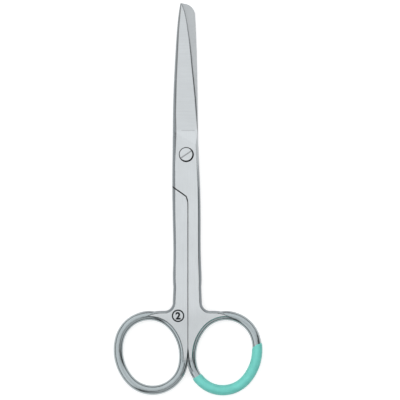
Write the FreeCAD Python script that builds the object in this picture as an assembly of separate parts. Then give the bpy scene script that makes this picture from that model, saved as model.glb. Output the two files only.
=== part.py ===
import FreeCAD, Part
import math
import os

# Surgical scissors with one sharp and one blunt blade, closed and lying flat.
# The origin is on the hinge axis in the plane they lie on, +Y runs to the tips
# and +Z runs up through the screw head. All sizes are in mm.

# Overall driving dimensions
thickness = 4.2         # the whole pair, at the joint and along the shanks
blade_reach = 56.03     # hinge axis to the tips
shank_reach = 57.92     # hinge axis to the top of the finger rings
joint_width = 9.8       # across the joint, flank to flank
mating_x = 0.57         # line on which the two shanks meet
slide_gap = 0.03        # between the sliding faces and between the shanks
flank_bulge = 1.0       # swell of the rounded flanks past the flats

# Finger rings, along the middle of the bar
ring_half_length = 13.86
ring_half_width = 11.98
ring_end_ratio = 0.952  # end radius as a part of the half width
ring_tilt = 14.0        # lean of each ring away from the middle, degrees
bar_width = 3.47
bar_height = 3.7
ring_bite = 0.3         # how far the ring would pass the mating line uncut

# Web between shank and ring
web_start = 49.0        # below the hinge axis
corner_radius = 3.0
web_rise = 0.08         # how far the web stands past the top of the ring
land_depth = 0.35        # sloped step from the flat web to the round bar
crotch_bevel = 0.35     # bevel on the web where the two rings part
crotch_run = 6.0        # length over which the web fades into the bar there

# Shoulder that stops each half on the other
shoulder_drop = 15.78   # hinge axis to the inner corner of the shoulder
shoulder_slope = 34.4   # degrees
shoulder_radius = 3.0
edge_break = 0.12       # broken edges along the shoulder and the mating line

# Blades
grind_start = 8.8       # hinge axis to the foot of the grind
grind_step = 0.12       # depth of the grind at the spine
grind_slope = 9.0       # runout at the start of the grind, degrees
grind_radius = 6.0      # of the hollow where the runout meets the grind
tip_thickness = 1.25    # each blade at its tip, at the spine
wedge_angle = 5.5       # fall from the spine to the cutting edge, degrees
edge_height = 0.3       # flat strip left on the cutting edge
edge_bevel = 0.3        # width of the bevel along the cutting edge

# Joint screw
head_diameter = 5.1
head_height = 1.1
head_gap = 0.05
head_bevel = 0.12       # on the rim of the head and of its recess
pin_diameter = 3.2
pin_gap = 0.04
slot_width = 0.45
slot_depth = 0.5
slot_angle = 34.0

# Plastic dip on the right ring
coat_thickness = 0.2
coat_gap = 0.01         # between the steel and the inside of the dip
dip_angle = 27.4        # slope of the line where the dip ends, degrees
dip_offset = 2.86       # from the ring centre to that line

# Sides of the closed pair: place along the reach, then left and right side
# as parts of the joint width. Below the joint the reach is the web start.
shank_sides = [
    (-1.000, -0.4857, 0.5755),
    (-0.816, -0.4908, 0.5653),
    (-0.453, -0.5122, 0.5490),
    (-0.182, -0.5255, 0.5163),
]
blade_sides = [
    (0.159, -0.5041, 0.4449),
    (0.357, -0.4898, 0.4337),
    (0.594, -0.4286, 0.4122),
    (0.819, -0.3490, 0.3714),
    (0.951, -0.2673, 0.3316),
    (1.040, -0.1760, 0.3010),
]

# Cutting edge of each blade, in the same parts of reach and joint width
sharp_edge = [
    (0.120, 0.4500),
    (0.225, 0.4010),
    (0.357, 0.3520),
    (0.489, 0.2765),
    (0.621, 0.2010),
    (0.753, 0.1255),
    (0.857, 0.0430),
    (0.917, -0.0173),
    (0.967, -0.1000),
    (0.997, -0.1820),
]
blunt_edge = [
    (0.120, -0.4750),
    (0.225, -0.4540),
    (0.600, -0.3200),
    (1.000, -0.1980),
]

half = thickness / 2
gap = slide_gap / 2
far = 4 * joint_width
fuzz = 0.0001


def vec(x, y, z=0.0):
    return FreeCAD.Vector(x, y, z)


def rounded_edges(points, radii, z=0.0):
    """Straight edges through the points, with an arc at each inner corner."""
    edges = []
    last = vec(points[0][0], points[0][1], z)
    for i in range(1, len(points) - 1):
        here = vec(points[i][0], points[i][1], z)
        before = (last - here).normalize()
        after = (vec(points[i + 1][0], points[i + 1][1], z) - here).normalize()
        turn = before.getAngle(after)
        run = radii[i - 1] / math.tan(turn / 2)
        start = here + before * run
        end = here + after * run
        middle_line = (before + after).normalize()
        centre = here + middle_line * (radii[i - 1] / math.sin(turn / 2))
        top = centre - middle_line * radii[i - 1]
        edges.append(Part.makeLine(last, start))
        edges.append(Part.Arc(start, top, end).toShape())
        last = end
    edges.append(Part.makeLine(last, vec(points[-1][0], points[-1][1], z)))
    return edges


def swept(spine, profile):
    """Solid of one upright profile carried along a level path."""
    sweep = Part.BRepOffsetAPI.MakePipeShell(spine)
    sweep.setBiNormalMode(vec(0, 0, 1))
    sweep.add(profile)
    sweep.build()
    sweep.makeSolid()
    return sweep.shape()


def turned(points):
    """Solid of revolution about the hinge axis, from radius and height."""
    wire = Part.makePolygon([vec(radius, 0, z) for radius, z in points + points[:1]])
    return Part.Face(wire).revolve(vec(0, 0, 0), vec(0, 0, 1), 360)


def turned_over(shape, x):
    """The same shape on the other face, turned about an upright plane at x."""
    copy = shape.copy()
    copy.rotate(vec(x, 0, half), vec(0, 1, 0), 180)
    return copy


def solid_of(shape):
    """The one solid of a Boolean result, with split faces joined again."""
    return shape.removeSplitter().Solids[0]


# Body of the closed pair, before it is parted

def pair_section(y, left, right):
    inner_left = left + flank_bulge
    inner_right = right - flank_bulge
    right_arc = Part.Arc(vec(inner_right, y, 0), vec(right, y, half), vec(inner_right, y, thickness))
    left_arc = Part.Arc(vec(inner_left, y, thickness), vec(left, y, half), vec(inner_left, y, 0))
    return Part.Wire([
        Part.makeLine(vec(inner_left, y, 0), vec(inner_right, y, 0)),
        right_arc.toShape(),
        Part.makeLine(vec(inner_right, y, thickness), vec(inner_left, y, thickness)),
        left_arc.toShape(),
    ])


def pair_body():
    sections = []
    for place, left, right in shank_sides:
        sections.append(pair_section(place * web_start, left * joint_width, right * joint_width))
    for place, left, right in blade_sides:
        sections.append(pair_section(place * blade_reach, left * joint_width, right * joint_width))
    return Part.makeLoft(sections, True, False)


# Parting of the joint. Side +1 is the front half, whose shank is on the right.

def parting_face(side, above, z):
    """Plan of the joint side (above) or the shank side of one shoulder."""
    slope = math.radians(shoulder_slope)
    shift = gap / math.cos(slope) * (1 if above else -1)
    corner = -shoulder_drop + shift + gap * math.tan(slope)
    run = far - gap
    outer = corner + (run + gap) * math.tan(slope)
    bottom = -web_start - half
    if above:
        bend = [(-run, outer), (gap, corner), (gap, bottom)]
        rest = [(gap, bottom), (far, bottom), (far, far * 3), (-run, far * 3), (-run, outer)]
    else:
        bend = [(run, outer), (gap, corner), (gap, bottom)]
        rest = [(gap, bottom), (run, bottom), (run, outer)]
    edges = rounded_edges(bend, [shoulder_radius], z)
    edges += [
        Part.makeLine(vec(a[0], a[1], z), vec(b[0], b[1], z))
        for a, b in zip(rest, rest[1:])
    ]
    face = Part.Face(Part.Wire(edges))
    if side < 0:
        face = face.mirror(vec(0, 0, 0), vec(1, 0, 0))
    face.translate(vec(mating_x, 0, 0))
    return face


def upper_half(body):
    """Joint layer, blade and shank of the front half, before grinding."""
    layer = parting_face(1, True, half + gap).extrude(vec(0, 0, thickness))
    shank = parting_face(1, False, -half).extrude(vec(0, 0, 2 * thickness))
    return solid_of(body.common(layer.fuse(shank)))


def lower_half(body):
    layer = parting_face(-1, True, half - gap).extrude(vec(0, 0, -thickness))
    shank = parting_face(-1, False, -half).extrude(vec(0, 0, 2 * thickness))
    return solid_of(body.common(layer.fuse(shank)))


def seam_groove():
    """Broken edges of the front shoulder and mating line, as one groove."""
    run = joint_width
    rise = run * math.tan(math.radians(shoulder_slope))
    bottom = ring_centre().y - crotch_run
    points = [(0, bottom), (0, -shoulder_drop), (-run, rise - shoulder_drop)]
    spine = Part.Wire(rounded_edges(points, [shoulder_radius], thickness))
    wide = 3 * edge_break
    profile = Part.makePolygon([
        vec(0, bottom, thickness - edge_break),
        vec(wide, bottom, thickness + wide - edge_break),
        vec(-wide, bottom, thickness + wide - edge_break),
        vec(0, bottom, thickness - edge_break),
    ])
    groove = swept(spine, profile)
    groove.translate(vec(mating_x, 0, 0))
    return groove


def break_edges(shape):
    front = seam_groove()
    back = turned_over(front, mating_x)
    return shape.cut([front], fuzz).cut([back], fuzz).Solids[0]


# Blades

def edge_points(table, shift=0.0):
    return [(x * joint_width + shift, y * blade_reach) for y, x in table]


def beyond_edge(points, side, z, end):
    """Closed plan of all that lies past a cutting edge and its tip line."""
    curve = Part.BSplineCurve()
    curve.interpolate([vec(x, y, z) for x, y in points])
    first = points[0]
    last = points[-1]
    corners = [last] + end + [
        (side * joint_width, blade_reach + joint_width),
        (side * joint_width, first[1]),
        first,
    ]
    edges = [curve.toShape()]
    for a, b in zip(corners, corners[1:]):
        edges.append(Part.makeLine(vec(a[0], a[1], z), vec(b[0], b[1], z)))
    return Part.Wire(edges)


def edge_cutter(table, side, end, foot, up):
    """Removes all past the cutting edge, and the bevel along it."""
    low = beyond_edge(edge_points(table), side, foot, end)
    wall = Part.Face(low).extrude(vec(0, 0, up * 2 * thickness))
    lean = -side * edge_bevel
    start = foot + up * edge_height
    rise = up * edge_bevel * 3
    tip = [(x + lean, y) for x, y in end]
    tall = beyond_edge(edge_points(table, lean), side, start + rise, tip)
    base = beyond_edge(edge_points(table), side, start, end)
    return wall, Part.makeLoft([base, tall], True, True)


def grind_cutter():
    """Wedge of air over the front blade, with a sloped and rounded start."""
    slope = math.tan(math.radians(grind_slope))
    top = 2 * thickness
    foot = thickness - grind_step
    tip = half + gap + tip_thickness
    end = blade_reach * 1.1
    fall = (foot - tip) / (blade_reach - grind_start)
    last = foot - fall * (end - grind_start)
    start = grind_start - (top - foot) / slope
    bend = [(start, top), (grind_start, foot), (end, last)]
    edges = rounded_edges(bend, [grind_radius])
    edges.append(Part.makeLine(vec(end, last), vec(end, top)))
    edges.append(Part.makeLine(vec(end, top), vec(start, top)))
    face = Part.Face(Part.Wire(edges))
    face.rotate(vec(0, 0, 0), vec(1, 1, 1), 120)
    cutter = face.extrude(vec(far, 0, 0))
    cutter.translate(vec(-far / 2, 0, 0))
    cutter.rotate(vec(-joint_width * 0.4, 0, foot), vec(0, 1, 0), wedge_angle)
    return cutter


def sharp_blade(shape):
    foot = half + gap
    tip_top = 0.9985 * blade_reach
    end = [
        (-0.214 * joint_width, tip_top),
        (-joint_width, tip_top),
        (-joint_width, blade_reach + joint_width),
    ]
    wall, bevel = edge_cutter(sharp_edge, 1, end, foot - gap, 1)
    bevel.translate(vec(0, 0, gap))
    return solid_of(shape.cut(wall).cut(bevel).cut(grind_cutter()))


def blunt_tip():
    """Everything past the rounded end of the blunt blade."""
    width = joint_width
    reach = blade_reach
    curve = Part.Arc(
        vec(0.02 * width, 0.9925 * reach, -half),
        vec(0.239 * width, 0.966 * reach, -half),
        vec(0.345 * width, 0.908 * reach, -half),
    )
    corners = [
        (0.345 * width, 0.908 * reach),
        (0.36 * width, 0.87 * reach),
        (far, 0.87 * reach),
        (far, reach + far),
        (-far, reach + far),
        (-far, reach),
        (-0.2 * width, reach),
        (0.02 * width, 0.9925 * reach),
    ]
    edges = [curve.toShape()]
    for a, b in zip(corners, corners[1:]):
        edges.append(Part.makeLine(vec(a[0], a[1], -half), vec(b[0], b[1], -half)))
    return Part.Face(Part.Wire(edges)).extrude(vec(0, 0, 2 * thickness))


def blunt_blade(shape):
    foot = half - gap
    end = [(-0.198 * joint_width, blade_reach * 1.02)]
    wall, bevel = edge_cutter(blunt_edge, -1, end, foot + gap, -1)
    bevel.translate(vec(0, 0, -gap))
    grind = turned_over(grind_cutter(), -0.03 * joint_width)
    return solid_of(shape.cut(wall).cut(bevel).cut(grind).cut(blunt_tip()))


# Finger rings. Built on the right of a mating line at x = 0.

def ring_numbers():
    """Radii and centre offsets of the oval made of four tangent arcs."""
    end_radius = min(ring_end_ratio, 0.98) * ring_half_width
    end_offset = ring_half_length - end_radius
    less = ring_half_width - end_radius
    side_offset = (end_offset ** 2 - less ** 2) / (2 * less)
    side_radius = ring_half_width + side_offset
    return end_radius, end_offset, side_radius, side_offset


def ring_centre():
    end_radius, end_offset, side_radius, side_offset = ring_numbers()
    tilt = math.radians(ring_tilt)
    across = side_radius - side_offset * math.cos(tilt)
    along = end_radius + end_offset * math.cos(tilt)
    x = across + bar_width / 2 - ring_bite
    y = -shank_reach - along - bar_width / 2
    return vec(x, y)


def ring_arcs():
    """Centre, radius, start angle and sweep of each arc, in degrees."""
    end_radius, end_offset, side_radius, side_offset = ring_numbers()
    turn = math.degrees(math.atan2(end_offset, side_offset))
    middle = ring_centre()
    arcs = []
    for x, y, radius, start, sweep in (
        (-side_offset, 0, side_radius, -turn, 2 * turn),
        (0, end_offset, end_radius, turn, 180 - 2 * turn),
        (side_offset, 0, side_radius, 180 - turn, 2 * turn),
        (0, -end_offset, end_radius, 180 + turn, 180 - 2 * turn),
    ):
        tilt = math.radians(-ring_tilt)
        offset = vec(
            x * math.cos(tilt) - y * math.sin(tilt),
            x * math.sin(tilt) + y * math.cos(tilt),
        )
        arcs.append((middle + offset, radius, start - ring_tilt, sweep))
    return arcs


def oval_wire(offset, z):
    edges = []
    for centre, radius, start, sweep in ring_arcs():
        points = []
        for part in (0, 0.5, 1):
            angle = math.radians(start + sweep * part)
            reach = radius + offset
            points.append(centre + vec(reach * math.cos(angle), reach * math.sin(angle), z))
        edges.append(Part.Arc(points[0], points[1], points[2]).toShape())
    return Part.Wire(edges)


def bar_face(centre, radius, start, grow):
    """Oval section of the bar, standing on the arc at its start angle."""
    out = vec(math.cos(math.radians(start)), math.sin(math.radians(start)))
    middle = centre + out * radius + vec(0, 0, half)
    tall = bar_height / 2 + grow
    wide = bar_width / 2 + grow
    if tall >= wide:
        oval = Part.Ellipse(middle + vec(0, 0, tall), middle + out * wide, middle)
    else:
        oval = Part.Ellipse(middle + out * wide, middle + vec(0, 0, tall), middle)
    return Part.Face(Part.Wire(oval.toShape()))


def ring_bar(grow):
    parts = []
    for centre, radius, start, sweep in ring_arcs():
        face = bar_face(centre, radius, start, grow)
        parts.append(face.revolve(centre, vec(0, 0, 1), sweep))
    return parts[0].multiFuse(parts[1:])


def web_path(outer, inset):
    """Silhouette from the shank, round the corner and down into the ring."""
    top = -shank_reach + web_rise - inset
    widen = 0.037 * (shank_reach - web_start)
    middle = ring_centre()
    level = middle.x + bar_width * 0.4
    points = [
        (outer - inset, -web_start),
        (outer - inset + widen, top),
        (level - inset * 0.4, top),
        (level + bar_width * 2, top - bar_width * 2),
    ]
    return points, [corner_radius + inset, 4 * corner_radius]


def web_edge_cutter(outer):
    """Air past the rounded edge of the web, in line with the shank flank."""
    points, radii = web_path(outer, 0.0)
    spine = Part.Wire(rounded_edges(points, radii))
    radius = (flank_bulge ** 2 + half ** 2) / (2 * flank_bulge)
    over = (radius - half) / 2
    back = radius - math.sqrt(radius ** 2 - (half + over) ** 2)
    y = -web_start
    near = outer - back
    wide = outer + corner_radius * 0.7
    low = -over
    high = thickness + over
    arc = Part.Arc(vec(near, y, low), vec(outer, y, half), vec(near, y, high))
    profile = Part.Wire([
        arc.toShape(),
        Part.makeLine(vec(near, y, high), vec(wide, y, high)),
        Part.makeLine(vec(wide, y, high), vec(wide, y, low)),
        Part.makeLine(vec(wide, y, low), vec(near, y, low)),
    ])
    return swept(spine, profile)


def web_plate(outer):
    points, radii = web_path(outer, -flank_bulge)
    middle = ring_centre()
    path = rounded_edges(points, radii)
    start = vec(points[0][0], points[0][1])
    end = vec(points[-1][0], points[-1][1])
    low = middle.y + bar_width * 0.07
    corners = [
        end,
        vec(middle.x, middle.y + bar_width),
        vec(bar_width * 1.2, low - bar_width),
        vec(0, low),
        vec(0, -web_start),
        start,
    ]
    for a, b in zip(corners, corners[1:]):
        path.append(Part.makeLine(a, b))
    return Part.Face(Part.Wire(path)).extrude(vec(0, 0, thickness))


def ring_hole_cutter():
    """Clears the web from the hole side of the bar, with a sloped rim."""
    deep = -1.3 * land_depth
    shape = Part.Face(oval_wire(deep, -half)).extrude(vec(0, 0, 2 * thickness))
    for level, up in ((thickness, 1), (0, -1)):
        foot = oval_wire(deep, level - up * land_depth)
        rim = oval_wire(deep + 2 * land_depth, level + up * land_depth)
        shape = shape.fuse(Part.makeLoft([foot, rim], True, True))
    return shape


def crotch_land():
    """Flat land on the bar where the rings part, bevelled and fading down."""
    reach = bar_width / 2 * 0.98
    disc = Part.Face(oval_wire(reach, crotch_bevel)).extrude(
        vec(0, 0, thickness - 2 * crotch_bevel))
    for level, rim in ((thickness - crotch_bevel, thickness), (crotch_bevel, 0)):
        rings = [oval_wire(reach, level), oval_wire(reach - crotch_bevel, rim)]
        disc = disc.fuse(Part.makeLoft(rings, True, True))
    top = ring_centre().y + bar_width / 2
    knee = top - bar_width
    end = knee - crotch_run
    fade = crotch_run * 0.16
    side = Part.makePolygon([
        vec(0, top, 0), vec(0, knee, 0), vec(0, end, fade), vec(0, end, thickness - fade),
        vec(0, knee, thickness), vec(0, top, thickness), vec(0, top, 0),
    ])
    wedge = Part.Face(side).extrude(vec(ring_centre().x, 0, 0))
    return disc.common(wedge)


def ring_side(outer, side):
    """Web and ring below the shank, with the flat mating face."""
    web = web_plate(outer).cut([web_edge_cutter(outer)], fuzz)
    away = Part.makeBox(far, far * 3, thickness * 3, vec(gap - far, -far * 3, -thickness))
    cutter = ring_hole_cutter().fuse(away)
    shape = web.cut(cutter).fuse(ring_bar(0.0).cut(away))
    shape = shape.fuse(crotch_land().cut(cutter)).Solids[0]
    if side < 0:
        shape = shape.mirror(vec(0, 0, 0), vec(1, 0, 0))
    shape.translate(vec(mating_x, 0, 0))
    return shape


# The four pieces

def joint_holes():
    """Recess of the screw head with its bevelled rim, and the pin hole."""
    radius = head_diameter / 2 + head_gap
    floor = thickness - head_height - head_gap
    recess = turned([
        (0, floor),
        (radius, floor),
        (radius, thickness - head_bevel),
        (radius + 2 * head_bevel, thickness + head_bevel),
        (0, thickness + head_bevel),
    ])
    pin = Part.makeCylinder(pin_diameter / 2 + pin_gap, 2 * thickness, vec(0, 0, -half))
    return recess.fuse(pin)


def make_sharp_half(body):
    upper = sharp_blade(upper_half(body))
    outer = shank_sides[0][2] * joint_width - mating_x
    return break_edges(upper.fuse(ring_side(outer, 1)).cut(joint_holes()))


def make_blunt_half(body):
    lower = blunt_blade(lower_half(body))
    outer = mating_x - shank_sides[0][1] * joint_width
    hole = Part.makeCylinder(pin_diameter / 2, 2 * thickness, vec(0, 0, -half))
    return break_edges(lower.fuse(ring_side(outer, -1)).cut(hole))


def make_joint_screw():
    """Slotted screw, turned in one piece with its pin."""
    pin = pin_diameter / 2
    head = head_diameter / 2
    screw = turned([
        (0, 0),
        (pin, 0),
        (pin, thickness - head_height),
        (head, thickness - head_height),
        (head, thickness - head_bevel),
        (head - head_bevel, thickness),
        (0, thickness),
    ])
    slot = Part.makeBox(
        head_diameter * 2, slot_width, 2 * slot_depth,
        vec(-head_diameter, -slot_width / 2, thickness - slot_depth))
    slot.rotate(vec(0, 0, 0), vec(0, 0, 1), slot_angle)
    return solid_of(screw.cut(slot))


def make_ring_coating():
    """Thin plastic shell on the lower right part of the right ring."""
    shell = ring_bar(coat_thickness).cut(ring_bar(coat_gap))
    middle = ring_centre()
    keep = Part.makeBox(far, far, thickness * 3, vec(-far / 2, -far, -thickness))
    keep.rotate(vec(0, 0, 0), vec(0, 0, 1), dip_angle)
    slope = math.radians(dip_angle)
    offset = vec(math.sin(slope), -math.cos(slope)) * dip_offset
    keep.translate(middle + offset)
    land = crotch_land().cut(ring_hole_cutter())
    shape = solid_of(shell.common(keep).cut(land))
    shape.translate(vec(mating_x, 0, 0))
    return shape


def main():
    os.makedirs("parts", exist_ok=True)
    body = pair_body()
    pieces = {
        "sharp_half": make_sharp_half(body),
        "blunt_half": make_blunt_half(body),
        "joint_screw": make_joint_screw(),
        "ring_coating": make_ring_coating(),
    }
    for name, shape in pieces.items():
        box = shape.BoundBox
        print(name, shape.isValid(), round(shape.Volume, 2), len(shape.Solids),
              round(box.XMin, 2), round(box.XMax, 2), round(box.YMin, 2), round(box.YMax, 2),
              round(box.ZMin, 3), round(box.ZMax, 3))
        shape.exportStep("parts/" + name + ".step")


main()
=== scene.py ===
import math

import bpy
from bpy.props import FloatProperty, FloatVectorProperty, PointerProperty, StringProperty
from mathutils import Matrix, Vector


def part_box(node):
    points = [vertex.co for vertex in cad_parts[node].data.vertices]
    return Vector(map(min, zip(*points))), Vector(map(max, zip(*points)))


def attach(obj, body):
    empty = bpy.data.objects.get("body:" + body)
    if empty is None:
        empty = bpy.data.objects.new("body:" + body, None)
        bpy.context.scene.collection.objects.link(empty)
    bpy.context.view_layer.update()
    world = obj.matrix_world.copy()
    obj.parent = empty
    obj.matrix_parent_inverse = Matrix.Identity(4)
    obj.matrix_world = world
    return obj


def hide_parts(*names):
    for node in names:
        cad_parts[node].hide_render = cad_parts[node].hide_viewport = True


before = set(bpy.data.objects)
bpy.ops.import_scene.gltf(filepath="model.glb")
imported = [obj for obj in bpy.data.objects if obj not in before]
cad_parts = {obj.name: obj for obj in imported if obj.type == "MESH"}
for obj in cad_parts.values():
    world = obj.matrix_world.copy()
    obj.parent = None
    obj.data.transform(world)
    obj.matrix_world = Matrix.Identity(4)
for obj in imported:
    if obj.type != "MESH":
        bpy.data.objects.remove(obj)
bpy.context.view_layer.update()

bl_info = {
    "name": "Surgical scissors",
    "version": (1, 0, 0),
    "blender": (4, 5, 0),
    "location": "3D View > Sidebar > Scissors",
    "description": "Steel, plastic dip, etched mark and studio for a pair of surgical scissors",
    "category": "Object",
}

UPPER = "upper_scissor_half"
LOWER = "lower_scissor_half"

# Places on the steel, in metres
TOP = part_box("blunt_half")[1][2]
MIDDLE = TOP / 2
MATING_X = 0.00057
SCREW_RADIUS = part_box("joint_screw")[1][0]
SHANK_END = (-0.0592, -0.0580)
JOINT_REACH = (-0.020, 0.004)
TIP_REACH = (0.036, 0.048)
GRIND_SOFT = 0.0004
WEB_FADE = 0.008
# RIM_WIDTH, RIM_SWELL and HEAD_DEPTH place the painted shade round the screw head: its width,
# its swell at the lower right and the depth where it applies.
RIM_WIDTH = (0.00010, 0.00020)
RIM_SWELL = 0.00016
HEAD_DEPTH = (0.0014, 0.0012)

# Steepness of the surface, as the upright part of its normal
FLAT = (0.955, 0.99)
FLANK = (0.65, 0.985)

# Streaks and grains of the steel, per metre along X, Y and Z
CROSS_GRAIN = (90, 1700, 400)
LONG_GRAIN = (1700, 70, 400)
WEB_GRAIN = (1900, 1900, 1900)
CLOUD_GRAIN = (160, 160, 160)

# Studio: places beside the middle of the view and the dark strip of the air
OVERHEAD_HEIGHT = 1.1
OVERHEAD_SIZE = 1.1
SIDE_PLACE = (-0.7, 0.9, 0.55)
SIDE_SIZE = 0.5
CAMERA_HEIGHT = 0.7
TABLE_HALF = 1.2
DARK_WAY = (0.65, -0.76, 0.0)
DARK_START = (0.16, 0.38)
DARK_END = (0.42, 0.66)

# Painted shade lines seen from above, standing in for the shade in the seam, between the rings
# and along the spine, shanks and grind start: both ends, half width at each end and darkness.
# A half width below zero lets the line fade out towards that end.
SEAM_SOFT = 0.00012
SPINE_SOFT = 0.00016
# Painted shade in the gap between the halves, in the V between the rings and along the
# shoulder.
SEAM_LINES = (
    ((0.00064, -0.0722), (0.00030, -0.0766), (0.00012, 0.00018), 0.92),
    ((0.00030, -0.0766), (-0.00020, -0.0788), (0.00018, 0.00020), 0.88),
    ((-0.00020, -0.0788), (-0.00080, -0.0803), (0.00020, 0.00018), 0.62),
    ((-0.00080, -0.0803), (-0.00190, -0.0818), (0.00018, 0.00010), 0.45),
    ((0.00072, -0.0722), (0.00108, -0.0768), (0.00012, 0.00018), 0.92),
    ((0.00108, -0.0768), (0.00166, -0.0788), (0.00018, 0.00020), 0.88),
    ((0.00166, -0.0788), (0.00253, -0.0803), (0.00020, 0.00016), 0.60),
    ((0.00070, -0.0200), (0.00070, -0.0728), (0.00014, 0.00012), 0.42),
    ((0.00060, -0.0175), (0.00066, -0.0200), (0.00016, 0.00014), 0.70),
    ((0.00010, -0.01585), (0.00057, -0.0176), (0.00016, 0.00012), 0.88),
    ((-0.0065, -0.01093), (0.00010, -0.01560), (0.00020, 0.00016), 0.96),
)
# Painted shade along the spine of the blade and the edge of the joint, and a painted shadow
# line where the grind starts.
SPINE_LINES = (
    ((-0.00470, -0.0120), (-0.00450, 0.0096), (0.00030, 0.00050), 0.72),
    ((-0.00450, 0.0096), (-0.00406, 0.0274), (0.00050, 0.00050), 0.72),
    ((-0.00406, 0.0274), (-0.00302, 0.0459), (0.00050, 0.00030), 0.66),
    ((-0.00302, 0.0459), (-0.00190, 0.0560), (0.00030, 0.00008), 0.58),
    ((-0.00170, 0.0089), (0.00310, 0.0089), (0.00006, 0.00010), 0.22),
    ((-0.00400, -0.0040), (-0.00386, 0.0075), (-0.00014, 0.00020), 0.62),
    ((-0.00386, 0.0075), (-0.00374, 0.0185), (0.00020, -0.00014), 0.62),
)
# Painted shade along the flanks of the shanks.
SHANK_LINES = (
    ((0.00454, -0.0040), (0.00460, -0.0120), (0.00008, 0.00014), 0.25),
    ((0.00460, -0.0120), (0.00464, -0.0410), (0.00014, 0.00018), 0.52),
    ((0.00464, -0.0410), (0.00478, -0.0480), (0.00018, 0.00002), 0.45),
    ((-0.00413, -0.0060), (-0.00413, -0.0330), (0.00010, 0.00010), 0.20),
)


# Sizes and colours

class SteelSettings(bpy.types.PropertyGroup):
    colour: FloatVectorProperty(
        name="Steel colour", description="Reflection colour of the bare steel",
        subtype="COLOR", size=3, min=0.0, max=1.0, default=(0.600, 0.622, 0.632))
    flat_roughness: FloatProperty(
        name="Flat roughness", description="Roughness of the satin ground flats",
        min=0.0, max=1.0, default=0.42)
    flank_roughness: FloatProperty(
        name="Flank roughness", description="Roughness of the polished flanks and rings",
        min=0.0, max=1.0, default=0.15)
    # Flank colour: a darker copy of the steel on the flanks, painted shade standing in for the
    # dark surroundings that they reflect.
    flank_shade_colour: FloatVectorProperty(
        name="Flank colour", description="Reflection colour of the polished flanks",
        subtype="COLOR", size=3, min=0.0, max=1.0, default=(0.215, 0.238, 0.252))
    # Ring colour: a darker copy of the steel on the ring bars, painted shade that tones down
    # their bright reflection.
    ring_shade_colour: FloatVectorProperty(
        name="Ring colour", description="Reflection colour of the round ring bars",
        subtype="COLOR", size=3, min=0.0, max=1.0, default=(0.388, 0.432, 0.442))
    # Crevice reach: how far the painted shade in seams and slots reaches.
    crevice_shade_reach: FloatProperty(
        name="Crevice reach", description="Width of the darkened steel in seams and slots",
        subtype="DISTANCE", unit="LENGTH", default=0.0006)
    blade_start: FloatProperty(
        name="Blade start", description="Distance from the hinge to the cross-ground blade",
        subtype="DISTANCE", unit="LENGTH", default=0.0088)
    web_start: FloatProperty(
        name="Web start", description="Distance from the hinge down to the grained web",
        subtype="DISTANCE", unit="LENGTH", default=0.054)


class DipSettings(bpy.types.PropertyGroup):
    colour: FloatVectorProperty(
        name="Dip colour", description="Colour of the plastic dip on the right ring",
        subtype="COLOR", size=3, min=0.0, max=1.0, default=(0.183, 0.700, 0.612))
    thickness: FloatProperty(
        name="Dip thickness", description="How far the plastic stands proud of the steel",
        subtype="DISTANCE", unit="LENGTH", default=0.00019)
    sunk: FloatProperty(
        name="Sunk depth", description="How far the sweep lies inside the bare bar",
        subtype="DISTANCE", unit="LENGTH", default=0.00006)
    edge: FloatProperty(
        name="Edge width", description="Length over which the plastic rises to its thickness",
        subtype="DISTANCE", unit="LENGTH", default=0.0006)
    waviness: FloatProperty(
        name="Edge waviness", description="How far the end of the plastic wanders",
        subtype="DISTANCE", unit="LENGTH", default=0.0008)
    slope: FloatProperty(
        name="Dip slope", description="Slope of the line where the plastic ends",
        subtype="ANGLE", default=math.radians(27.4))
    offset: FloatProperty(
        name="Dip offset", description="Distance from the ring centre to that line",
        subtype="DISTANCE", unit="LENGTH", default=0.00286)
    ring_centre: FloatVectorProperty(
        name="Ring centre", description="Centre of the right ring",
        subtype="TRANSLATION", unit="LENGTH", size=3, default=(0.01414, -0.07344, 0.0021))
    half_length: FloatProperty(
        name="Ring half length",
        description="Half length of the ring along the middle of its bar",
        subtype="DISTANCE", unit="LENGTH", default=0.01386)
    half_width: FloatProperty(
        name="Ring half width",
        description="Half width of the ring along the middle of its bar",
        subtype="DISTANCE", unit="LENGTH", default=0.01198)
    end_ratio: FloatProperty(
        name="End ratio", description="End radius as a part of the half width", default=0.952)
    tilt: FloatProperty(
        name="Ring tilt", description="Lean of the ring away from the middle",
        subtype="ANGLE", default=math.radians(14.0))
    bar_width: FloatProperty(
        name="Bar width", description="Width of the ring bar seen from above",
        subtype="DISTANCE", unit="LENGTH", default=0.00347)
    bar_height: FloatProperty(
        name="Bar height", description="Height of the ring bar",
        subtype="DISTANCE", unit="LENGTH", default=0.0037)


class MarkSettings(bpy.types.PropertyGroup):
    figure: StringProperty(
        name="Figure", description="Plain figure inside the etched ring", default="2")
    centre: FloatVectorProperty(
        name="Mark centre", description="Centre of the etched ring on the left web",
        subtype="TRANSLATION", unit="LENGTH", size=2, default=(-0.0030, -0.0597))
    radius: FloatProperty(
        name="Mark radius", description="Radius to the middle of the etched line",
        subtype="DISTANCE", unit="LENGTH", default=0.00207)
    line: FloatProperty(
        name="Line width", description="Width of the etched line",
        subtype="DISTANCE", unit="LENGTH", default=0.00050)
    proud: FloatProperty(
        name="Line height", description="How far the mark reaches above and below the flat",
        subtype="DISTANCE", unit="LENGTH", default=0.000006)
    figure_size: FloatProperty(
        name="Figure size", description="Text size as a multiple of the ring radius",
        min=0.1, default=1.75)
    figure_weight: FloatProperty(
        name="Figure weight", description="Swell of the figure's strokes, in line widths",
        min=0.0, default=0.32)
    colour: FloatVectorProperty(
        name="Etch colour", description="Colour of the etched line",
        subtype="COLOR", size=3, min=0.0, max=1.0, default=(0.010, 0.012, 0.014))


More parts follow.
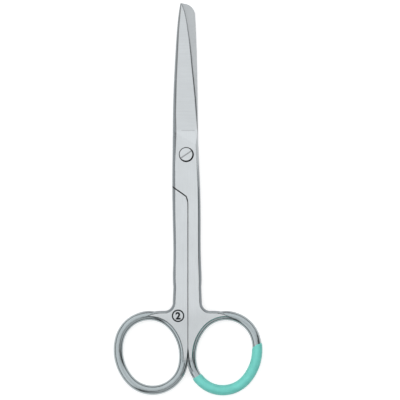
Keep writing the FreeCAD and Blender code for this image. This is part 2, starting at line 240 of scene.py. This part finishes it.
class StudioSettings(bpy.types.PropertyGroup):
    floor_colour: FloatVectorProperty(
        name="Floor colour", description="Colour of the table",
        subtype="COLOR", size=3, min=0.0, max=1.0, default=(0.52, 0.52, 0.52))
    floor_glow: FloatProperty(
        name="Floor glow", description="Light that lifts the table to white where it is seen",
        min=0.0, max=1.0, default=0.69)
    bright_side: FloatProperty(
        name="Bright side", description="Strength of the air above and to the upper left",
        min=0.0, default=1.20)
    dark_side: FloatProperty(
        name="Dark side", description="Strength of the air to the lower right",
        min=0.0, default=0.10)
    view_width: FloatProperty(
        name="View width", description="Width of table that the camera sees",
        subtype="DISTANCE", unit="LENGTH", default=0.148)
    view_centre: FloatVectorProperty(
        name="View centre", description="Point of the table under the camera",
        subtype="TRANSLATION", unit="LENGTH", size=2, default=(0.005117, -0.016857))
    overhead: FloatProperty(
        name="Overhead light", description="Power of the large overhead light in watts",
        min=0.0, default=0.5)
    side: FloatProperty(
        name="Side light", description="Power of the side light in watts",
        min=0.0, default=0.3)


# Node helpers

def maths(tree, operation, a, b=None, clamp=False):
    made = tree.nodes.new("ShaderNodeMath")
    made.operation = operation
    made.use_clamp = clamp
    for socket, value in zip(made.inputs, (a, b)):
        if value is None:
            continue
        if isinstance(value, (int, float)):
            socket.default_value = value
        else:
            tree.links.new(value, socket)
    return made.outputs[0]


def ramp(tree, value, low, high, out_low=0.0, out_high=1.0):
    made = tree.nodes.new("ShaderNodeMapRange")
    made.interpolation_type = "SMOOTHSTEP"
    tree.links.new(value, made.inputs["Value"])
    made.inputs["From Min"].default_value = low
    made.inputs["From Max"].default_value = high
    made.inputs["To Min"].default_value = out_low
    made.inputs["To Max"].default_value = out_high
    return made.outputs["Result"]


def parts(tree, vector):
    """X, Y and Z of a vector."""
    made = tree.nodes.new("ShaderNodeSeparateXYZ")
    tree.links.new(vector, made.inputs[0])
    return made.outputs


def dot(tree, vector, other):
    made = tree.nodes.new("ShaderNodeVectorMath")
    made.operation = "DOT_PRODUCT"
    tree.links.new(vector, made.inputs[0])
    if isinstance(other, bpy.types.NodeSocket):
        tree.links.new(other, made.inputs[1])
    else:
        made.inputs[1].default_value = other
    return made.outputs["Value"]


def grain(tree, point, scale, detail=2.0):
    """Noise on Object coordinates, stretched by its three scales per metre."""
    mapping = tree.nodes.new("ShaderNodeMapping")
    mapping.inputs["Scale"].default_value = scale
    tree.links.new(point, mapping.inputs["Vector"])
    noise = tree.nodes.new("ShaderNodeTexNoise")
    noise.inputs["Scale"].default_value = 1.0
    noise.inputs["Detail"].default_value = detail
    noise.inputs["Roughness"].default_value = 0.6
    tree.links.new(mapping.outputs["Vector"], noise.inputs["Vector"])
    return noise.outputs["Fac"]


def spread(tree, noise, low, high):
    """The usual range of a noise, stretched from low to high."""
    return ramp(tree, noise, 0.3, 0.7, low, high)


def mix(tree, share, a, b):
    """Number between a and b."""
    made = tree.nodes.new("ShaderNodeMix")
    for socket, value in ((made.inputs[0], share), (made.inputs[2], a), (made.inputs[3], b)):
        if isinstance(value, (int, float)):
            socket.default_value = value
        else:
            tree.links.new(value, socket)
    return made.outputs[0]


def blend(tree, share, a, b):
    """Colour between a and b; each is a colour or a socket."""
    made = tree.nodes.new("ShaderNodeMix")
    made.data_type = "RGBA"
    tree.links.new(share, made.inputs["Factor"])
    for socket, value in ((made.inputs[6], a), (made.inputs[7], b)):
        if isinstance(value, bpy.types.NodeSocket):
            tree.links.new(value, socket)
        else:
            socket.default_value = (*value, 1.0)
    return made.outputs[2]


def new_material(name):
    material = bpy.data.materials.new(name)
    material.use_nodes = True
    tree = material.node_tree
    shader = tree.nodes["Principled BSDF"]
    point = tree.nodes.new("ShaderNodeTexCoord")
    return material, tree, shader, point


def product(tree, *factors):
    total = factors[0]
    for factor in factors[1:]:
        total = maths(tree, "MULTIPLY", total, factor)
    return total


def less(tree, share):
    """What is left of 1."""
    return maths(tree, "SUBTRACT", 1.0, share)


def radius_of(tree, x, y):
    """Distance from the screw axis."""
    square = maths(tree, "ADD", product(tree, x, x), product(tree, y, y))
    return maths(tree, "SQRT", square)


def shaded_colour(tree, colour, factor):
    """The colour times a grey factor."""
    made = tree.nodes.new("ShaderNodeVectorMath")
    made.operation = "SCALE"
    if isinstance(colour, bpy.types.NodeSocket):
        tree.links.new(colour, made.inputs[0])
    else:
        made.inputs[0].default_value = colour
    tree.links.new(factor, made.inputs["Scale"])
    return made.outputs[0]


def crevice_shade(tree, reach, darkest):
    """Factor of painted shade from ambient occlusion, falling where other surfaces crowd round
    a point, as in a seam.
    """
    near = tree.nodes.new("ShaderNodeAmbientOcclusion")
    near.samples = 12
    near.inputs["Distance"].default_value = reach
    return ramp(tree, near.outputs["AO"], 0.50, 0.93, darkest, 1.0)


def near_line(tree, x, y, start, end, width, soft):
    """1 on a straight line seen from above, 0 beyond its half width and soft edge."""
    way = Vector(end) - Vector(start)
    length = way.length
    way.normalize()
    across = maths(tree, "SUBTRACT",
                   maths(tree, "MULTIPLY", x, way.y),
                   maths(tree, "MULTIPLY", y, way.x))
    across = maths(tree, "SUBTRACT", across, start[0] * way.y - start[1] * way.x)
    across = maths(tree, "ABSOLUTE", across)
    along = maths(tree, "ADD",
                  maths(tree, "MULTIPLY", x, way.x),
                  maths(tree, "MULTIPLY", y, way.y))
    along = maths(tree, "SUBTRACT", along, start[0] * way.x + start[1] * way.y)
    share = maths(tree, "DIVIDE", along, length, clamp=True)
    reach = mix(tree, share, width[0], width[1])
    line = ramp(tree, maths(tree, "SUBTRACT", reach, across), -soft, 0.0)
    begun = ramp(tree, along, -soft, 0.0)
    ended = ramp(tree, along, length, length + soft, 1.0, 0.0)
    return maths(tree, "MULTIPLY", line, maths(tree, "MULTIPLY", begun, ended))


def dark_lines(tree, x, y, lines, soft):
    """Factor of painted shade that falls on each line; a line is its ends, half widths and
    darkness.
    """
    total = None
    for start, end, width, dark in lines:
        share = near_line(tree, x, y, start, end, width, soft)
        share = maths(tree, "MULTIPLY", share, dark)
        total = share if total is None else maths(tree, "MAXIMUM", total, share)
    return maths(tree, "SUBTRACT", 1.0, total)


def screw_rim(tree, place):
    """Factor for the painted shade in the gap round the screw head, darkest at its lower right.
    """
    x, y, z = parts(tree, place)
    away = maths(tree, "SUBTRACT", radius_of(tree, x, y), SCREW_RADIUS)
    lower = ramp(tree, maths(tree, "SUBTRACT", x, y), -0.0030, 0.0030)
    swell = mix(tree, lower, 0.0, RIM_SWELL)
    away = maths(tree, "SUBTRACT", maths(tree, "ABSOLUTE", away), swell)
    rim = ramp(tree, away, *RIM_WIDTH, 1.0, 0.0)
    head = ramp(tree, z, TOP - HEAD_DEPTH[0], TOP - HEAD_DEPTH[1])
    return less(tree, product(tree, rim, head, mix(tree, lower, 0.60, 0.95)))


def add_bump(tree, shader, height, distance, strength=1.0):
    bump = tree.nodes.new("ShaderNodeBump")
    bump.inputs["Strength"].default_value = strength
    bump.inputs["Distance"].default_value = distance
    tree.links.new(height, bump.inputs["Height"])
    tree.links.new(bump.outputs["Normal"], shader.inputs["Normal"])


# Materials

def steel_masks(tree, place, normal):
    """Shares of the steel's zones: 1 inside a zone, 0 outside."""
    _, y, z = parts(tree, place)
    across, _, upright = parts(tree, normal)
    upright = maths(tree, "ABSOLUTE", upright)
    depth = maths(tree, "ABSOLUTE", maths(tree, "SUBTRACT", z, MIDDLE))
    shank = ramp(tree, y, *SHANK_END)
    tip = ramp(tree, y, *TIP_REACH)
    # lit: the painted flank shade is weaker on flanks facing +X at the joint and along the
    # blade, most at the tip.
    lit = maths(tree, "ADD",
                ramp(tree, y, *JOINT_REACH, 0.0, 0.50),
                maths(tree, "MULTIPLY", tip, 0.30))
    lit = product(tree, lit, ramp(tree, across, 0.1, 0.4))
    bar = ramp(tree, depth, MIDDLE - 0.00018, MIDDLE - 0.00008, 1.0, 0.0)
    return {
        "flat": ramp(tree, upright, *FLAT),
        # flank: share of the painted flank shade.
        "flank": product(tree, ramp(tree, upright, *FLANK, 1.0, 0.0), shank, less(tree, lit)),
        "inner": ramp(tree, depth, 0.0001, 0.0002, 1.0, 0.0),
        "front": ramp(tree, z, MIDDLE + 0.0001, MIDDLE + 0.0002),
        "bar": product(tree, bar, less(tree, shank)),
        "tip": tip,
    }


def painted_lines(tree, place, zone):
    """Factor of painted shade: the seam lines on both faces, the spine and shank lines on the
    front and the ring round the screw head.
    """
    x, y, _ = parts(tree, place)
    front = zone["front"]
    turned_x = maths(tree, "SUBTRACT", 2 * MATING_X, x)
    seam = dark_lines(tree, mix(tree, front, turned_x, x), y, SEAM_LINES, SEAM_SOFT)
    bare = maths(tree, "MAXIMUM", less(tree, front), zone["flank"])
    spine = mix(tree, bare, dark_lines(tree, x, y, SPINE_LINES, SPINE_SOFT), 1.0)
    edge = mix(tree, front, 1.0, dark_lines(tree, x, y, SHANK_LINES, SEAM_SOFT))
    return product(tree, seam, spine, edge, screw_rim(tree, place))


def satin_steel(settings):
    """Ground steel: cross lines on the blade, long streaks on the shanks, grain on the web,
    with painted shade on the flanks, ring bars, inner blade face, seams and edge lines.
    """
    material, tree, shader, point = new_material("Satin steel")
    place = point.outputs["Object"]
    zone = steel_masks(tree, place, point.outputs["Normal"])
    y = parts(tree, place)["Y"]
    start = settings.blade_start
    blade = ramp(tree, y, start - GRIND_SOFT, start + GRIND_SOFT)
    web = ramp(tree, y, -settings.web_start, -settings.web_start - WEB_FADE)

    cross = grain(tree, place, CROSS_GRAIN)
    along = grain(tree, place, LONG_GRAIN)
    fine = grain(tree, place, WEB_GRAIN)
    cloud = grain(tree, place, CLOUD_GRAIN, 1.0)
    lines = mix(tree, blade, mix(tree, web, along, fine), cross)

    # Painted shade: the ring bars get the darker ring colour.
    colour = blend(tree, zone["bar"], settings.colour, settings.ring_shade_colour)
    # Painted shade: the flanks get the darker flank colour.
    colour = blend(tree, zone["flank"], colour, settings.flank_shade_colour)
    level = mix(tree, web, 1.0, 0.90)
    # On the blade the inner face is painted 0.77 times darker as painted shade, and the front
    # face a little lighter.
    level = mix(tree, blade, level, mix(tree, zone["inner"], 1.03, 0.77))
    level = mix(tree, zone["bar"], level, 1.0)
    # Painted shade in the seams, the gap between the rings and round the screw, left off at the
    # tip.
    shade = crevice_shade(tree, settings.crevice_shade_reach, 0.10)
    level = product(
        tree, level,
        mix(tree, zone["tip"], shade, 1.0),
        # Painted shade lines and the painted shade round the screw head.
        painted_lines(tree, place, zone),
        spread(tree, lines, 0.965, 1.03),
        spread(tree, cloud, 0.985, 1.012))
    tree.links.new(shaded_colour(tree, colour, level), shader.inputs["Base Color"])
    shader.inputs["Metallic"].default_value = 1.0
    rough = mix(tree, zone["flat"], settings.flank_roughness, settings.flat_roughness)
    rough = maths(tree, "ADD", rough, spread(tree, lines, -0.03, 0.05))
    tree.links.new(rough, shader.inputs["Roughness"])
    add_bump(tree, shader, lines, 0.000012, 0.5)
    return material


def turned_steel(settings):
    """Screw steel: fine rings from the lathe round the screw axis."""
    material, tree, shader, point = new_material("Turned screw steel")
    place = point.outputs["Object"]
    x, y, _ = parts(tree, place)
    rings = maths(tree, "SINE", maths(tree, "MULTIPLY", radius_of(tree, x, y), 42000))
    fine = grain(tree, place, (2500, 2500, 2500))
    # level: grain times painted shade in the slot and seams and the painted shade round the
    # head.
    level = product(
        tree,
        spread(tree, fine, 0.955, 1.0),
        crevice_shade(tree, settings.crevice_shade_reach, 0.55),
        # Painted shade round the screw head.
        screw_rim(tree, place))
    tree.links.new(shaded_colour(tree, settings.colour, level), shader.inputs["Base Color"])
    shader.inputs["Metallic"].default_value = 1.0
    rough = spread(tree, fine, settings.flat_roughness - 0.08, settings.flat_roughness)
    tree.links.new(rough, shader.inputs["Roughness"])
    height = maths(tree, "ADD", maths(tree, "MULTIPLY", rings, 0.2), fine)
    add_bump(tree, shader, height, 0.00001, 0.4)
    return material


def dip_plastic(settings):
    """Soft satin plastic that set from a dip, a little thinner in places."""
    material, tree, shader, point = new_material("Teal dip plastic")
    place = point.outputs["Object"]
    cloud = grain(tree, place, (220, 220, 220), 2.0)
    fine = grain(tree, place, (1800, 1800, 1800))
    level = spread(tree, cloud, 0.93, 1.05)
    tree.links.new(shaded_colour(tree, settings.colour, level), shader.inputs["Base Color"])
    rough = spread(tree, fine, 0.36, 0.46)
    tree.links.new(rough, shader.inputs["Roughness"])
    shader.inputs["IOR"].default_value = 1.48
    height = maths(tree, "ADD", cloud, maths(tree, "MULTIPLY", fine, 0.15))
    add_bump(tree, shader, height, 0.00005, 0.5)
    return material


def etched_black(settings):
    """Dark matt line burnt into the steel, with a grainy depth."""
    material, tree, shader, point = new_material("Etched line")
    place = point.outputs["Object"]
    fine = grain(tree, place, (5000, 5000, 5000))
    level = spread(tree, fine, 0.75, 1.5)
    tree.links.new(shaded_colour(tree, settings.colour, level), shader.inputs["Base Color"])
    shader.inputs["Roughness"].default_value = 0.62
    shader.inputs["Specular IOR Level"].default_value = 0.1
    add_bump(tree, shader, fine, 0.00001, 0.5)
    return material


def dress(name, material):
    """Gives a CAD node its material."""
    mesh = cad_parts[name].data
    mesh.materials.clear()
    mesh.materials.append(material)


# Shapes

def oval_points(settings, count=160):
    """Points along the middle of the right ring bar: four tangent arcs."""
    end = min(settings.end_ratio, 0.98) * settings.half_width
    along = settings.half_length - end
    less = settings.half_width - end
    across = (along ** 2 - less ** 2) / (2 * less)
    side = settings.half_width + across
    turn = math.atan2(along, across)
    middle = Vector(settings.ring_centre)
    arcs = (
        (-across, 0.0, side, -turn, 2 * turn),
        (0.0, along, end, turn, math.pi - 2 * turn),
        (across, 0.0, side, math.pi - turn, 2 * turn),
        (0.0, -along, end, math.pi + turn, math.pi - 2 * turn),
    )
    total = sum(arc[2] * arc[4] for arc in arcs)
    cos = math.cos(-settings.tilt)
    sin = math.sin(-settings.tilt)
    points = []
    for x, y, radius, start, sweep in arcs:
        steps = max(4, round(count * radius * sweep / total))
        for i in range(steps):
            angle = start + sweep * i / steps
            px = x + radius * math.cos(angle)
            py = y + radius * math.sin(angle)
            points.append(middle + Vector((px * cos - py * sin, px * sin + py * cos, 0.0)))
    return points


def loop_curve(name, points):
    curve = bpy.data.curves.new(name, "CURVE")
    curve.dimensions = "3D"
    spline = curve.splines.new("POLY")
    spline.points.add(len(points) - 1)
    for place, point in zip(spline.points, points):
        place.co = (*point, 1.0)
    spline.use_cyclic_u = True
    made = bpy.data.objects.new(name, curve)
    bpy.context.collection.objects.link(made)
    return made


def dip_tree():
    """Sweeps a bar round a ring and swells it below a slanting dip line."""
    tree = bpy.data.node_groups.new("Ring dip", "GeometryNodeTree")
    face = tree.interface
    face.new_socket("Geometry", in_out="OUTPUT", socket_type="NodeSocketGeometry")
    face.new_socket("Path", in_out="INPUT", socket_type="NodeSocketGeometry")
    for name in ("Bar Width", "Bar Height", "Thickness", "Sunk", "Edge", "Waviness"):
        face.new_socket(name, in_out="INPUT", socket_type="NodeSocketFloat")
    face.new_socket("Dip Point", in_out="INPUT", socket_type="NodeSocketVector")
    face.new_socket("Dip Normal", in_out="INPUT", socket_type="NodeSocketVector")
    face.new_socket("Material", in_out="INPUT", socket_type="NodeSocketMaterial")
    source = tree.nodes.new("NodeGroupInput")
    target = tree.nodes.new("NodeGroupOutput")
    links = tree.links

    profile = tree.nodes.new("GeometryNodeCurvePrimitiveCircle")
    profile.inputs["Resolution"].default_value = 48
    profile.inputs["Radius"].default_value = 0.5
    shape = tree.nodes.new("GeometryNodeTransform")
    size = tree.nodes.new("ShaderNodeCombineXYZ")
    links.new(source.outputs["Bar Width"], size.inputs["X"])
    links.new(source.outputs["Bar Height"], size.inputs["Y"])
    size.inputs["Z"].default_value = 1.0
    links.new(profile.outputs["Curve"], shape.inputs["Geometry"])
    links.new(size.outputs[0], shape.inputs["Scale"])
    upright = tree.nodes.new("GeometryNodeSetCurveNormal")
    upright.mode = "Z_UP"
    links.new(source.outputs["Path"], upright.inputs["Curve"])
    sweep = tree.nodes.new("GeometryNodeCurveToMesh")
    links.new(upright.outputs["Curve"], sweep.inputs["Curve"])
    links.new(shape.outputs["Geometry"], sweep.inputs["Profile Curve"])

    place = tree.nodes.new("GeometryNodeInputPosition")
    away = tree.nodes.new("ShaderNodeVectorMath")
    away.operation = "SUBTRACT"
    links.new(place.outputs[0], away.inputs[0])
    links.new(source.outputs["Dip Point"], away.inputs[1])
    depth = dot(tree, away.outputs[0], source.outputs["Dip Normal"])
    wave = tree.nodes.new("ShaderNodeTexNoise")
    wave.inputs["Scale"].default_value = 420.0
    wave.inputs["Detail"].default_value = 1.0
    links.new(place.outputs[0], wave.inputs["Vector"])
    shift = maths(tree, "MULTIPLY", maths(tree, "SUBTRACT", wave.outputs["Fac"], 0.5),
                  source.outputs["Waviness"])
    below = maths(tree, "ADD", depth, shift)
    rise = tree.nodes.new("ShaderNodeMapRange")
    rise.interpolation_type = "SMOOTHSTEP"
    links.new(below, rise.inputs["Value"])
    rise.inputs["From Min"].default_value = 0.0
    links.new(source.outputs["Edge"], rise.inputs["From Max"])
    links.new(maths(tree, "MULTIPLY", source.outputs["Sunk"], -1.0), rise.inputs["To Min"])
    links.new(source.outputs["Thickness"], rise.inputs["To Max"])
    normal = tree.nodes.new("GeometryNodeInputNormal")
    push = tree.nodes.new("ShaderNodeVectorMath")
    push.operation = "SCALE"
    links.new(normal.outputs[0], push.inputs[0])
    links.new(rise.outputs["Result"], push.inputs["Scale"])
    swell = tree.nodes.new("GeometryNodeSetPosition")
    links.new(sweep.outputs["Mesh"], swell.inputs["Geometry"])
    links.new(push.outputs[0], swell.inputs["Offset"])
    smooth = tree.nodes.new("GeometryNodeSetShadeSmooth")
    links.new(swell.outputs["Geometry"], smooth.inputs["Geometry"])
    real = tree.nodes.new("GeometryNodeRealizeInstances")
    links.new(smooth.outputs["Geometry"], real.inputs["Geometry"])
    paint = tree.nodes.new("GeometryNodeSetMaterial")
    links.new(real.outputs["Geometry"], paint.inputs["Geometry"])
    links.new(source.outputs["Material"], paint.inputs["Material"])
    links.new(paint.outputs["Geometry"], target.inputs["Geometry"])
    return tree


def set_inputs(modifier, values):
    for item in modifier.node_group.interface.items_tree:
        if item.item_type == "SOCKET" and item.in_out == "INPUT" and item.name in values:
            modifier[item.identifier] = values[item.name]


def plain_mesh(source, name):
    """The evaluated object as a plain mesh object, with the source removed."""
    graph = bpy.context.evaluated_depsgraph_get()
    mesh = bpy.data.meshes.new_from_object(source.evaluated_get(graph))
    mesh.name = name
    made = bpy.data.objects.new(name, mesh)
    bpy.context.collection.objects.link(made)
    bpy.data.objects.remove(source)
    return made


# Operators

class SCISSORS_OT_steel(bpy.types.Operator):
    """Dress both halves and the screw in ground steel"""
    bl_idname = "scissors.steel"
    bl_label = "Steel halves and screw"

    def execute(self, context):
        settings = context.scene.scissors_steel
        steel = satin_steel(settings)
        dress("sharp_half", steel)
        dress("blunt_half", steel)
        dress("joint_screw", turned_steel(settings))
        return {"FINISHED"}


class SCISSORS_OT_dip(bpy.types.Operator):
    """Sweep the plastic dip round the lower part of the right ring"""
    bl_idname = "scissors.dip"
    bl_label = "Ring dip"

    def execute(self, context):
        settings = context.scene.scissors_dip
        path = loop_curve("ring_path", oval_points(settings))
        modifier = path.modifiers.new("Dip", "NODES")
        modifier.node_group = dip_tree()
        normal = Vector((math.sin(settings.slope), -math.cos(settings.slope), 0.0))
        set_inputs(modifier, {
            "Bar Width": settings.bar_width,
            "Bar Height": settings.bar_height,
            "Thickness": settings.thickness,
            "Sunk": settings.sunk,
            "Edge": settings.edge,
            "Waviness": settings.waviness,
            "Dip Point": Vector(settings.ring_centre) + normal * settings.offset,
            "Dip Normal": normal,
            "Material": dip_plastic(settings),
        })
        piece = plain_mesh(path, "ring_dip")
        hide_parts("ring_coating")
        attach(piece, UPPER)
        return {"FINISHED"}


class SCISSORS_OT_mark(bpy.types.Operator):
    """Etch a plain ring and figure on the left web"""
    bl_idname = "scissors.mark"
    bl_label = "Etched mark"

    def execute(self, context):
        settings = context.scene.scissors_mark
        material = etched_black(settings)
        text = bpy.data.curves.new("mark_figure", "FONT")
        text.body = settings.figure
        text.align_x = "CENTER"
        text.align_y = "CENTER"
        text.size = settings.radius * settings.figure_size
        text.offset = settings.line * settings.figure_weight
        text.extrude = settings.proud
        text.resolution_u = 8
        figure = bpy.data.objects.new("mark_figure", text)
        context.collection.objects.link(figure)
        context.view_layer.update()
        made = plain_mesh(figure, "etched_figure")
        centre = Vector((settings.centre[0], settings.centre[1], TOP))
        xs = [v.co.x for v in made.data.vertices]
        ys = [v.co.y for v in made.data.vertices]
        middle = Vector(((min(xs) + max(xs)) / 2, (min(ys) + max(ys)) / 2, 0.0))
        for vertex in made.data.vertices:
            vertex.co += centre - middle
        ring = self.ring(settings, centre)
        for piece in (made, ring):
            piece.data.materials.clear()
            piece.data.materials.append(material)
            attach(piece, LOWER)
        return {"FINISHED"}

    def ring(self, settings, centre):
        count = 96
        inner = settings.radius - settings.line / 2
        outer = settings.radius + settings.line / 2
        low = centre.z - settings.proud
        high = centre.z + settings.proud
        corners = ((inner, low), (outer, low), (outer, high), (inner, high))
        points = []
        faces = []
        for i in range(count):
            angle = 2 * math.pi * i / count
            cos = math.cos(angle)
            sin = math.sin(angle)
            for radius, z in corners:
                points.append((centre.x + radius * cos, centre.y + radius * sin, z))
            j = (i + 1) % count
            for k in range(4):
                m = (k + 1) % 4
                faces.append((i * 4 + k, i * 4 + m, j * 4 + m, j * 4 + k))
        mesh = bpy.data.meshes.new("etched_ring")
        mesh.from_pydata(points, [], [face[::-1] for face in faces])
        made = bpy.data.objects.new("etched_ring", mesh)
        bpy.context.collection.objects.link(made)
        return made


class SCISSORS_OT_studio(bpy.types.Operator):
    """Lay out the table, the soft lights and the camera"""
    bl_idname = "scissors.studio"
    bl_label = "Studio"

    def execute(self, context):
        settings = context.scene.scissors_studio
        scene = context.scene
        scene.view_settings.view_transform = "Standard"
        self.table(settings)
        self.world(scene, settings)
        x, y = settings.view_centre
        aim = (x, y, 0.0)
        place = (x, y, OVERHEAD_HEIGHT)
        self.light("overhead", place, aim, OVERHEAD_SIZE, settings.overhead)
        place = (x + SIDE_PLACE[0], y + SIDE_PLACE[1], SIDE_PLACE[2])
        self.light("side", place, aim, SIDE_SIZE, settings.side)
        camera = bpy.data.cameras.new("camera")
        camera.type = "ORTHO"
        camera.ortho_scale = settings.view_width
        camera.clip_start = 0.01
        camera.clip_end = 5.0
        view = bpy.data.objects.new("camera", camera)
        view.location = (x, y, CAMERA_HEIGHT)
        scene.collection.objects.link(view)
        scene.camera = view
        return {"FINISHED"}

    def table(self, settings):
        mesh = bpy.data.meshes.new("table")
        half = TABLE_HALF
        corners = [(-half, -half, 0), (half, -half, 0), (half, half, 0), (-half, half, 0)]
        mesh.from_pydata(corners, [], [(0, 1, 2, 3)])
        table = bpy.data.objects.new("table", mesh)
        bpy.context.collection.objects.link(table)
        material, tree, shader, point = new_material("Table")
        fine = grain(tree, point.outputs["Object"], (900, 900, 900))
        level = spread(tree, fine, 0.995, 1.0)
        colour = shaded_colour(tree, settings.floor_colour, level)
        tree.links.new(colour, shader.inputs["Base Color"])
        shader.inputs["Roughness"].default_value = 0.9
        shader.inputs["Specular IOR Level"].default_value = 0.1
        ray = tree.nodes.new("ShaderNodeLightPath")
        seen = maths(tree, "ADD", ray.outputs["Is Camera Ray"], ray.outputs["Is Glossy Ray"])
        seen = maths(tree, "ADD", seen, ray.outputs["Is Transmission Ray"], clamp=True)
        shader.inputs["Emission Color"].default_value = (1.0, 1.0, 1.0, 1.0)
        glow = maths(tree, "MULTIPLY", seen, settings.floor_glow)
        tree.links.new(glow, shader.inputs["Emission Strength"])
        mesh.materials.append(material)

    def world(self, scene, settings):
        """Bright overhead and to the upper left, dark to the lower right and low down."""
        world = bpy.data.worlds.new("Studio air")
        scene.world = world
        world.use_nodes = True
        tree = world.node_tree
        back = tree.nodes["Background"]
        point = tree.nodes.new("ShaderNodeTexCoord")
        way = point.outputs["Generated"]
        up = parts(tree, way)["Z"]
        toward = dot(tree, way, DARK_WAY)
        share = product(
            tree,
            ramp(tree, toward, *DARK_START),
            ramp(tree, toward, *DARK_END, 1.0, 0.35))
        side = mix(tree, share, settings.bright_side, settings.dark_side)
        height = ramp(tree, up, 0.12, 0.50, 0.08, 1.0)
        below = ramp(tree, up, -0.10, -0.02, 1.0, 0.0)
        strength = mix(tree, below, product(tree, side, height), 1.0)
        tree.links.new(strength, back.inputs["Strength"])
        back.inputs["Color"].default_value = (0.97, 0.985, 1.0, 1.0)

    def light(self, name, place, aim, size, power):
        lamp = bpy.data.lights.new(name, "AREA")
        lamp.shape = "SQUARE"
        lamp.size = size
        lamp.energy = power
        made = bpy.data.objects.new(name, lamp)
        made.location = place
        way = Vector(aim) - Vector(place)
        made.rotation_euler = way.to_track_quat("-Z", "Y").to_euler()
        bpy.context.collection.objects.link(made)


class SCISSORS_PT_panel(bpy.types.Panel):
    bl_label = "Surgical scissors"
    bl_idname = "SCISSORS_PT_panel"
    bl_space_type = "VIEW_3D"
    bl_region_type = "UI"
    bl_category = "Scissors"

    def draw(self, context):
        for settings, operator in (
            ("scissors_steel", "scissors.steel"),
            ("scissors_dip", "scissors.dip"),
            ("scissors_mark", "scissors.mark"),
            ("scissors_studio", "scissors.studio"),
        ):
            box = self.layout.box()
            box.operator(operator)
            group = getattr(context.scene, settings)
            for name in group.__annotations__:
                box.prop(group, name)


CLASSES = (
    SteelSettings, DipSettings, MarkSettings, StudioSettings,
    SCISSORS_OT_steel, SCISSORS_OT_dip, SCISSORS_OT_mark, SCISSORS_OT_studio,
    SCISSORS_PT_panel,
)
GROUPS = {
    "scissors_steel": SteelSettings,
    "scissors_dip": DipSettings,
    "scissors_mark": MarkSettings,
    "scissors_studio": StudioSettings,
}


def register():
    for cls in CLASSES:
        bpy.utils.register_class(cls)
    for name, group in GROUPS.items():
        setattr(bpy.types.Scene, name, PointerProperty(type=group))


def unregister():
    for name in GROUPS:
        delattr(bpy.types.Scene, name)
    for cls in reversed(CLASSES):
        bpy.utils.unregister_class(cls)


def main():
    register()
    bpy.ops.scissors.studio()
    bpy.ops.scissors.steel()
    bpy.ops.scissors.dip()
    bpy.ops.scissors.mark()


if __name__ == "__main__":
    main()
